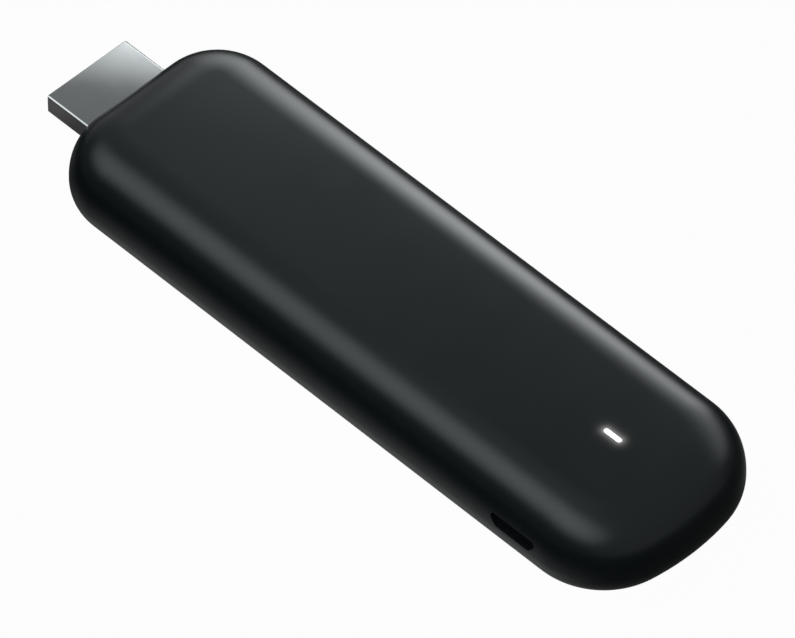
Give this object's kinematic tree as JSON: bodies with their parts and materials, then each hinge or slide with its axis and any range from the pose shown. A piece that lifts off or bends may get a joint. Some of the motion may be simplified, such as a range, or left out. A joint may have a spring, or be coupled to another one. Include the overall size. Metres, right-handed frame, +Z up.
{
  "type": "streaming media stick",
  "caption": "Slim rounded black stick with a video plug at one end, a small power socket in one side, a status lamp on top, and a shielded circuit board with heat plates inside.",
  "frame": {"origin": "On the resting plane, under the middle of the whole length, plug included.", "axes": "+X along the stick towards the lamp end, with the video plug at the low X end; +Y across it, with the power socket in the low Y side; +Z up through the lamp's face."},
  "size_m": [0.1096, 0.032, 0.0131],
  "materials": {
    "casing_plastic": "fine matt soft-touch black",
    "plug_steel": "satin nickel-plated steel with bright edges",
    "socket_steel": "tinned sheet steel",
    "connector_plastic": "black glass-filled plastic",
    "contact_gold": "gold-plated copper alloy",
    "light_guide": "milky clear plastic, lit white",
    "led_package": "white package with yellow phosphor",
    "circuit_board": "dark green solder mask",
    "chip_resin": "moulded black resin",
    "shield_tin": "tin-plated sheet",
    "thermal_pad": "soft grey-blue silicone pad",
    "black_foam": "fine closed-cell foam",
    "heat_aluminium": "tumbled aluminium",
    "screw_steel": "dark zinc-plated steel",
    "capacitor_ceramic": "tan fired ceramic with tinned ends",
    "ferrite_grey": "dark grey ferrite",
    "resistor_glass": "black glassed ceramic",
    "crystal_can": "welded metal can",
    "antenna_metal": "plated spring metal"
  },
  "bodies": {
    "root": {"top_shell": "casing_plastic", "bottom_cover": "casing_plastic", "light_pipe": "light_guide", "lamp_foam": "black_foam", "status_led": "led_package", "plug_shell": "plug_steel", "plug_insulator": "connector_plastic", "plug_contacts": "contact_gold", "socket_shell": "socket_steel", "socket_tongue": "connector_plastic", "socket_contacts": "contact_gold", "main_board": "circuit_board", "board_screws": "screw_steel", "processor": "chip_resin", "processor_pad": "thermal_pad", "memory_chips": "chip_resin", "clock_crystal": "crystal_can", "bypass_capacitors": "capacitor_ceramic", "surge_chips": "chip_resin", "shield_frame": "shield_tin", "shield_lid": "shield_tin", "spreader_pad": "thermal_pad", "heat_plate": "heat_aluminium", "ceiling_foam": "black_foam", "flash_chip": "chip_resin", "flash_pad": "thermal_pad", "lower_shield": "shield_tin", "lower_pad": "thermal_pad", "lower_plate": "heat_aluminium", "radio_module": "shield_tin", "power_chip": "chip_resin", "power_inductors": "ferrite_grey", "power_capacitors": "capacitor_ceramic", "lamp_resistors": "resistor_glass", "side_antenna": "antenna_metal", "end_antenna": "antenna_metal"}
  },
  "joints": []
}
